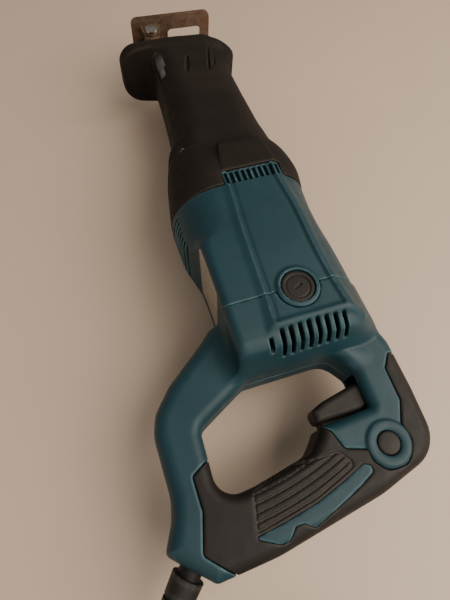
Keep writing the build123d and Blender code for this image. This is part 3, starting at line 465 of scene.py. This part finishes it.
def noise(tree, coordinates, scale, detail=4.0, roughness=0.55, stretch=None):
    """Noise at so many features per metre; stretch scales its axes."""
    if stretch:
        mapping = tree.nodes.new("ShaderNodeMapping")
        mapping.inputs["Scale"].default_value = stretch
        tree.links.new(coordinates, mapping.inputs["Vector"])
        coordinates = mapping.outputs["Vector"]
    node = tree.nodes.new("ShaderNodeTexNoise")
    node.inputs["Scale"].default_value = scale
    node.inputs["Detail"].default_value = detail
    node.inputs["Roughness"].default_value = roughness
    tree.links.new(coordinates, node.inputs["Vector"])
    return node.outputs["Fac"]


def mixed(tree, factor, a, b, kind="RGBA"):
    """Mix of two colours, each a socket or a colour."""
    node = tree.nodes.new("ShaderNodeMix")
    node.data_type = kind
    first, second, out = (6, 7, 2) if kind == "RGBA" else (2, 3, 0)
    for index, value in ((0, factor), (first, a), (second, b)):
        if isinstance(value, bpy.types.NodeSocket):
            tree.links.new(value, node.inputs[index])
        elif isinstance(value, tuple):
            node.inputs[index].default_value = (*value, 1)
        else:
            node.inputs[index].default_value = value
    return node.outputs[out]


def finish(name, colour, second, rough=(0.4, 0.6), metal=0.0, grain=900, grain_depth=0.25, wear=None,
           wear_amount=0.6, hollow_dirt_and_shade=None, blotch=28, specular=0.35, stretch=None, bump_size=0.0004):
    """Procedural finish: mottled base, fine grain, rubbed edges, and a colour in the hollows: dirt with
    painted shade where it is darker, dust where it is lighter.
    """
    made = bpy.data.materials.new(name)
    made.use_nodes = True
    tree = made.node_tree
    shader = tree.nodes["Principled BSDF"]
    coordinates = tree.nodes.new("ShaderNodeTexCoord").outputs["Object"]
    patches = noise(tree, coordinates, blotch, 5, 0.6, stretch)
    base = mixed(tree, ramp(tree, patches, [(0.35, (0, 0, 0)), (0.68, (1, 1, 1))]), colour, second)
    geometry = tree.nodes.new("ShaderNodeNewGeometry")
    smudge = noise(tree, coordinates, 130, 6, 0.7)
    if wear:
        edge = ramp(tree, geometry.outputs["Pointiness"], [(0.515, (0, 0, 0)), (0.56, (1, 1, 1))])
        worn = tree.nodes.new("ShaderNodeMath")
        worn.operation = "MULTIPLY"
        tree.links.new(edge, worn.inputs[0])
        rubbed = ramp(tree, smudge, [(0.38, (0.2, 0.2, 0.2)), (0.6, (wear_amount,) * 3)])
        tree.links.new(rubbed, worn.inputs[1])
        base = mixed(tree, worn.outputs[0], base, wear)
    # Concave places (low pointiness) take the hollow colour: dirt and painted shade where it is darker than
    # the base, dust where it is lighter.
    if hollow_dirt_and_shade:
        hollow = ramp(tree, geometry.outputs["Pointiness"], [(0.42, (0.85, 0.85, 0.85)), (0.492, (0, 0, 0))])
        base = mixed(tree, hollow, base, hollow_dirt_and_shade)
    tree.links.new(base, shader.inputs["Base Color"])
    shine = ramp(tree, smudge, [(0.3, (rough[0],) * 3), (0.7, (rough[1],) * 3)])
    tree.links.new(shine, shader.inputs["Roughness"])
    shader.inputs["Metallic"].default_value = metal
    shader.inputs["Specular IOR Level"].default_value = specular
    bump = tree.nodes.new("ShaderNodeBump")
    bump.inputs["Strength"].default_value = grain_depth
    bump.inputs["Distance"].default_value = bump_size
    tree.links.new(noise(tree, coordinates, grain, 3, 0.6, stretch), bump.inputs["Height"])
    tree.links.new(bump.outputs["Normal"], shader.inputs["Normal"])
    return made


# Hollow colours darker than their bases (teal, boot, black, cast, worn steel, copper, zinc) are dirt and
# painted shade in the hollows; the lighter ones of the elastomer and cord are dust.
TEAL = finish("teal_plastic", (0.0076, 0.0365, 0.049), (0.012, 0.0485, 0.0625), rough=(0.38, 0.55),
              grain=2600, grain_depth=0.3, wear=(0.085, 0.19, 0.21), wear_amount=0.8,
              hollow_dirt_and_shade=(0.006, 0.012, 0.014), blotch=18)
ELASTOMER = finish("soft_elastomer", (0.0078, 0.0060, 0.0050), (0.0135, 0.0104, 0.0086), rough=(0.45, 0.66),
                   grain=3200, grain_depth=0.35, wear=(0.085, 0.070, 0.058), wear_amount=0.45,
                   hollow_dirt_and_shade=(0.10, 0.085, 0.068), blotch=24)
BOOT_RUBBER = finish("boot_rubber", (0.0085, 0.0062, 0.0048), (0.017, 0.012, 0.0090), rough=(0.6, 0.85),
                     specular=0.25, grain=1500, grain_depth=0.5, wear=(0.075, 0.058, 0.045),
                     wear_amount=0.5, hollow_dirt_and_shade=(0.006, 0.005, 0.004), blotch=20)
BLACK = finish("black_plastic", (0.0095, 0.0083, 0.0074), (0.0165, 0.0144, 0.0124), rough=(0.4, 0.6),
               grain=2400, grain_depth=0.3, wear=(0.10, 0.085, 0.07), wear_amount=0.5,
               hollow_dirt_and_shade=(0.004, 0.004, 0.004))
GREY_TRIGGER = finish("trigger_plastic", (0.0135, 0.0115, 0.0098), (0.021, 0.018, 0.015),
                      rough=(0.45, 0.65), grain=2200, grain_depth=0.35, wear=(0.12, 0.10, 0.085),
                      wear_amount=0.5)
LABEL = finish("label_foil", (0.42, 0.38, 0.31), (0.30, 0.26, 0.20), rough=(0.3, 0.5), metal=0.3, grain=900,
               grain_depth=0.1, blotch=260)
CAST = finish("cast_aluminium", (0.36, 0.36, 0.36), (0.46, 0.46, 0.45), rough=(0.42, 0.62), metal=1.0,
              grain=1300, grain_depth=0.5, wear=(0.62, 0.62, 0.6), hollow_dirt_and_shade=(0.08, 0.075, 0.07))
STEEL = finish("machined_steel", (0.46, 0.46, 0.45), (0.56, 0.55, 0.53), rough=(0.2, 0.36), metal=1.0,
               grain=700, grain_depth=0.15, wear=(0.7, 0.69, 0.66), stretch=(1, 9, 1))
WORN_STEEL = finish("worn_steel", (0.050, 0.032, 0.022), (0.15, 0.062, 0.028), rough=(0.45, 0.75), metal=0.55,
                    grain=900, grain_depth=0.6, wear=(0.26, 0.19, 0.14), hollow_dirt_and_shade=(0.02, 0.012, 0.008),
                    blotch=70)
LAMINATED = finish("laminated_steel", (0.16, 0.16, 0.17), (0.24, 0.24, 0.25), rough=(0.35, 0.5), metal=1.0,
                   grain=900, grain_depth=0.6, stretch=(3.5, 0.05, 0.05))
COPPER = finish("enamelled_copper", (0.42, 0.13, 0.045), (0.55, 0.2, 0.07), rough=(0.25, 0.4), metal=0.9,
                grain=500, grain_depth=0.7, stretch=(6, 1, 1), hollow_dirt_and_shade=(0.06, 0.02, 0.01))
CARBON = finish("pressed_carbon", (0.016, 0.016, 0.017), (0.03, 0.03, 0.031), rough=(0.5, 0.7), grain=2500)
WIRE = finish("spring_wire", (0.4, 0.4, 0.41), (0.5, 0.5, 0.5), rough=(0.2, 0.35), metal=1.0, grain=1200,
              grain_depth=0.1)
ZINC = finish("zinc_plate", (0.42, 0.41, 0.38), (0.52, 0.5, 0.44), rough=(0.28, 0.45), metal=1.0,
              grain=1100, grain_depth=0.2, wear=(0.7, 0.68, 0.62), hollow_dirt_and_shade=(0.06, 0.05, 0.04))
CORD_RUBBER = finish("cord_rubber", (0.012, 0.0115, 0.011), (0.02, 0.019, 0.018), rough=(0.5, 0.7),
                     grain=1400, grain_depth=0.35, hollow_dirt_and_shade=(0.03, 0.027, 0.024), blotch=40)
BRASS = finish("plug_brass", (0.62, 0.45, 0.2), (0.7, 0.55, 0.28), rough=(0.2, 0.35), metal=1.0, grain=900,
               grain_depth=0.12, wear=(0.85, 0.72, 0.42))

NODE_FINISHES = {
    CAST: ["gear_housing", "gear_housing_cover", "bearing_plate"],
    STEEL: ["armature_shaft", "crank_gear", "crank_shaft", "crank_pin", "crank_roller", "slider",
            "front_bearing", "rear_bearing", "upper_crank_bearing", "lower_crank_bearing", "clamp_pin",
            "clamp_retainer", "slider_bushes", "shoe_pin"],
    WORN_STEEL: ["shoe", "shoe_bar", "clamp_sleeve"],
    LAMINATED: ["stator_core", "armature_core"],
    COPPER: ["field_windings", "armature_windings", "commutator"],
    CARBON: ["carbon_brushes", "noise_filter"],
    WIRE: ["brush_springs", "trigger_spring", "lock_spring", "clamp_spring"],
    ZINC: ["motor_screws"],
    CORD_RUBBER: ["cord_tie", "plug"],
    BRASS: ["plug_pins"],
    BLACK: ["cord_guard", "switch_body", "fan_baffle", "terminal_block", "cooling_fan", "shoe_button",
            "brush_holders", "cord_clamp"],
}
for made, names in NODE_FINISHES.items():
    for name in names:
        nodes[name].data.materials.clear()
        nodes[name].data.materials.append(made)


def dress(piece, made, slot, *replaced):
    """Give a piece its finish and hide the CAD nodes that it stands for; slot is not used."""
    piece.data.materials.append(made)
    if replaced:
        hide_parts(*replaced)
    return piece


# ---- casings, grips, boot and controls ----------------------------------------------------------
def mirrored_in_h(field):
    """The same field on the other side of the mid-plane."""
    return lambda S, Y, H: field(S, Y, -H)


def left_handle(S, Y, H):
    """Left half, which holds the lock button."""
    return handle_field(S, Y, H, True)


def right_handle(S, Y, H):
    """Right half, drawn on the left."""
    return handle_field(S, Y, H, False)


def right_grip(S, Y, H):
    """Soft skin of the right half with its screw wells, drawn on the left."""
    return round_max(grip_field(S, Y, H), -screw_wells(S, Y, H), 0.4)


dress(moulded("handle_left_shell", left_handle, (-1, -61, 0), (SEAM_S, 124, 49), FINE),
      TEAL, "teal_shell", "handle_left")
dress(moulded("handle_right_shell", mirrored_in_h(right_handle), (-1, -61, -49), (SEAM_S, 124, 0), FINE),
      TEAL, "teal_shell", "handle_right")
dress(moulded("grip_left_skin", grip_field, (-1, -61, 0), (97, 103, 19), FINE),
      ELASTOMER, "soft_grip", "grip_left")
dress(moulded("grip_right_skin", mirrored_in_h(right_grip), (-1, -61, -19), (97, 103, 0), FINE),
      ELASTOMER, "soft_grip", "grip_right")


def handle_screw_field(S, Y, H):
    """Pan-head screws of the handle with their cross recesses."""
    screws = []
    above = H + SCREW_SEAT  # height over the seat, negative towards the outside
    for s, y in SCREWS:
        u, v = np.abs(S - s), np.abs(Y - y)
        r = np.hypot(u, v)
        head = round_max(r - HEAD_R, np.maximum(-2.8 - above, above), 0.9)
        cross = np.minimum(np.maximum(u - 2.1, v - 0.5), np.maximum(v - 2.1, u - 0.5))
        head = np.maximum(head, -np.maximum(cross, above + 1.2))
        screws.append(np.minimum(head, np.maximum(r - SCREW_R, np.maximum(-1 - above, H - 9.5))))
    return np.minimum.reduce(screws)


dress(moulded("handle_screw_set", handle_screw_field, (8, -47, -16), (139, 103, 10), 0.5),
      ZINC, "screw_steel", "handle_screws")
dress(moulded("motor_casing", motor_field, (SEAM_S - RING_R, -48, -49), (VENT_S, 62, 49), FINE),
      TEAL, "teal_shell", "motor_housing")
dress(moulded("nose_boot", boot_field, (BOOT_S, -50, -49), (430, 63, 49), MEDIUM),
      BOOT_RUBBER, "soft_grip", "rubber_boot")
dress(moulded("trigger_blade", trigger_field, (45, -38, -10), (85, 12, 10), 0.7, "trigger"),
      GREY_TRIGGER, "black_plastic", "trigger")
dress(moulded("lock_button_dome", lock_field, (33, -34, 7), (51, -16, 20), 0.4, "lock_button"),
      GREY_TRIGGER, "black_plastic", "lock_button")


def both_caps(S, Y, H):
    """The brush cap of each side."""
    return cap_field(S, Y, np.abs(H))


for side, low_h, high_h in (("left", 43, 48), ("right", -48, -43)):
    cap = moulded(f"brush_cap_{side}", both_caps, (136, -11, low_h), (158, 11, high_h), 0.35)
    dress(cap, BLACK, "black_plastic", *(["brush_caps"] if side == "left" else []))


def label_field(S, Y, H):
    """Rating label: a thin foil that follows the flank beside the underside."""
    face = flank(S, Y, H, MOTOR)
    sheet = np.maximum(face - 0.3, -(face + 0.5))
    corner = round_max(np.abs(S - 176.5) - 18.5, np.abs(H - 7) - 34, 2)
    return np.maximum(np.maximum(sheet, corner), 30 - Y)


dress(moulded("rating_label", label_field, (157, 36, -28), (196, 54, 42), 0.5), LABEL, "label", "label_plate")

# ---- cord: guard tip, route on the table, coil and tail ------------------------------------------------
ROUTE = [(-24.7, 144.4, 40.5), (-46, 163, 34), (-79, 168, 18), (-112, 155, 6), (-135, 130, 4.05)]
TAIL = [(-149, 96, 12), (-150, 64, 12.5), (-143, 36, 13.1)]
COIL = (-95.0, 93.0)
COIL_TURNS, POINTS_PER_TURN = 8, 18
START_TURN = atan2(ROUTE[-1][1] - COIL[1], ROUTE[-1][0] - COIL[0])
END_TURN = atan2(TAIL[0][1] - COIL[1], TAIL[0][0] - COIL[0])
WINDING = COIL_TURNS * 2 * pi + END_TURN - START_TURN
LAYERS = [(54, 4), (46, 4), (38, 4), (38, 12), (46, 12), (38, 20), (46, 20), (54, 20), (54, 12)]  # r, z
STEP_WIDTH = radians(34)  # each turn crosses into its next place over this much of the circle


def coil_place(turned):
    """Radius and height of the cord after so much of the winding."""
    steps = (turned - radians(320)) / (2 * pi - STEP_WIDTH)
    index = int(np.clip(np.floor(steps + 0.5), 0, len(LAYERS) - 2))
    share = np.clip((steps - index) * (2 * pi - STEP_WIDTH) / STEP_WIDTH + 0.5, 0, 1)
    share = share * share * (3 - 2 * share)
    return np.array(LAYERS[index]) * (1 - share) + np.array(LAYERS[index + 1]) * share


route = list(ROUTE[:-1])
for turned in np.arange(0, WINDING - 0.1, 2 * pi / POINTS_PER_TURN):
    radius, height = coil_place(turned)
    angle = START_TURN + turned
    route.append((COIL[0] + radius * cos(angle), COIL[1] + radius * sin(angle), height))
route += TAIL

cord_curve = bpy.data.curves.new("cord", "CURVE")
cord_curve.dimensions = "3D"
cord_curve.bevel_depth = 1.0  # each point's radius gives the cord's
cord_curve.bevel_resolution = 5
cord_curve.resolution_u = 8
cord_curve.use_fill_caps = True
line = cord_curve.splines.new("NURBS")
line.points.add(len(route) - 1)
for point, (s, y, z) in zip(line.points, route):
    point.co = ((BUTT + s) / 1000, y / 1000, z / 1000, 1)
    point.radius = CORD_R
line.order_u = 3
line.use_endpoint_u = True
cord = bpy.data.objects.new("cord", cord_curve)
bpy.context.scene.collection.objects.link(cord)
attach(cord, "housing")
dress(cord, CORD_RUBBER, "cord_rubber", "power_cord", "cord_coil")

# ---- floor, light and camera --------------------------------------------------------------------
floor_mesh = bpy.data.meshes.new("floor")
floor_mesh.from_pydata([(-3, -3, 0), (3, -3, 0), (3, 3, 0), (-3, 3, 0)], [], [(0, 1, 2, 3)])
floor = bpy.data.objects.new("floor", floor_mesh)
bpy.context.scene.collection.objects.link(floor)
floor_paint = bpy.data.materials.new("floor_paint")
floor_paint.use_nodes = True
floor_tree = floor_paint.node_tree
floor_shader = floor_tree.nodes["Principled BSDF"]
floor_place = floor_tree.nodes.new("ShaderNodeTexCoord").outputs["Object"]
floor_patches = noise(floor_tree, floor_place, 6)
floor_colour = mixed(floor_tree, floor_patches, (0.57, 0.448, 0.345), (0.63, 0.502, 0.393))
floor_tree.links.new(floor_colour, floor_shader.inputs["Base Color"])
floor_shader.inputs["Roughness"].default_value = 0.55
floor_mesh.materials.append(floor_paint)


def soft_light(name, place, aim, size, power, colour):
    """Square area light at a place, turned towards a point."""
    lamp = bpy.data.lights.new(name, "AREA")
    lamp.size, lamp.energy, lamp.color = size, power, colour
    holder = bpy.data.objects.new(name, lamp)
    holder.location = place
    holder.rotation_euler = (Vector(aim) - Vector(place)).to_track_quat("-Z", "Y").to_euler()
    bpy.context.scene.collection.objects.link(holder)


soft_light("key", (-0.45, -0.75, 1.05), (0.0, 0.0, 0.0), 1.3, 27, (1.0, 0.89, 0.78))
soft_light("fill", (-0.9, 0.5, 0.9), (0.0, 0.0, 0.05), 1.2, 4, (1.0, 0.93, 0.86))
world = bpy.data.worlds.new("studio")
world.use_nodes = True
world.node_tree.nodes["Background"].inputs["Color"].default_value = (1.0, 0.93, 0.85, 1)
world.node_tree.nodes["Background"].inputs["Strength"].default_value = 0.24
bpy.context.scene.world = world

lens = bpy.data.cameras.new("camera")
lens.lens, lens.sensor_width = 27.06, 36
camera = bpy.data.objects.new("camera", lens)
right, up = Vector((-0.30586, -0.95075, 0.05023)), Vector((0.87018, -0.25776, 0.41993))
turn = Matrix((right, up, right.cross(up))).transposed().to_4x4()
camera.matrix_world = Matrix.Translation((-0.15786, 0.09636, 0.3505)) @ turn
bpy.context.scene.collection.objects.link(camera)
bpy.context.scene.camera = camera

bpy.context.view_layer.update()
